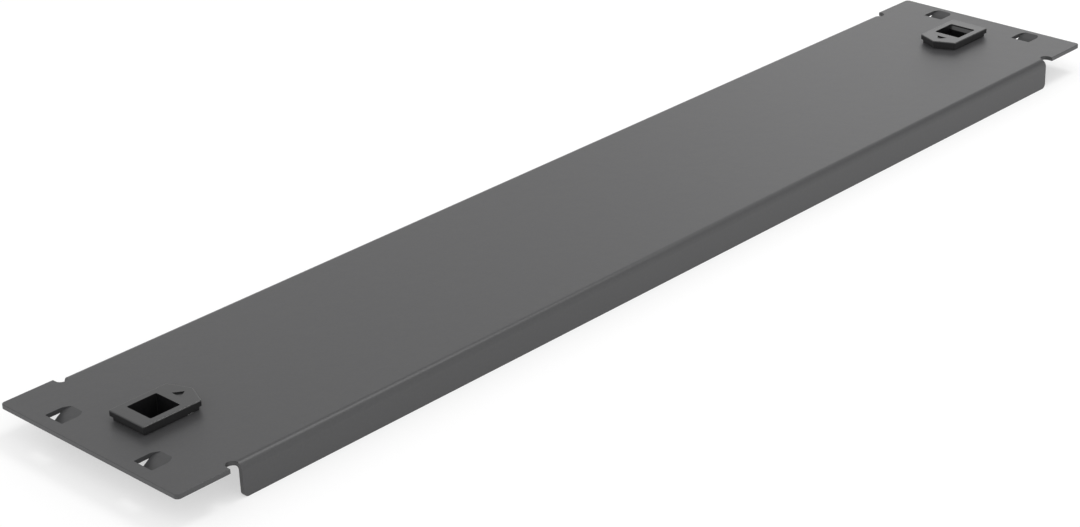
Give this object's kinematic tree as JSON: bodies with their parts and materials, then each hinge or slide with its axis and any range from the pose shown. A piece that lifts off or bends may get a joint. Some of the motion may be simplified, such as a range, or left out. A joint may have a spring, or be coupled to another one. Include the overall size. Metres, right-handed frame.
{
  "type": "rack blanking panel",
  "caption": "Tool-less rack blanking panel: a folded black steel sheet with hook tabs pressed from its ears and sliding plastic latches that catch behind the rack rails.",
  "frame": {"origin": "middle of the panel's length and width, on the plane of the flange edges", "axes": "+X along the panel, +Y across it, +Z out of its visible face"},
  "size_m": [0.4826, 0.0882, 0.0154],
  "materials": {
    "powder_coated_steel": "matt black fine-textured powder coat on steel sheet",
    "latch_plastic": "black moulded plastic with a fine spark-eroded grain"
  },
  "bodies": {
    "panel": {"panel": "powder_coated_steel"},
    "left_latch": {"left_latch": "latch_plastic"},
    "right_latch": {"right_latch": "latch_plastic"}
  },
  "joints": [
    {"name": "left_latch_slide", "type": "slide", "parent": "panel", "child": "left_latch", "axis": [1, 0, 0], "range_m": [0, 0.0035]},
    {"name": "right_latch_slide", "type": "slide", "parent": "panel", "child": "right_latch", "axis": [-1, 0, 0], "range_m": [0, 0.0035]}
  ]
}
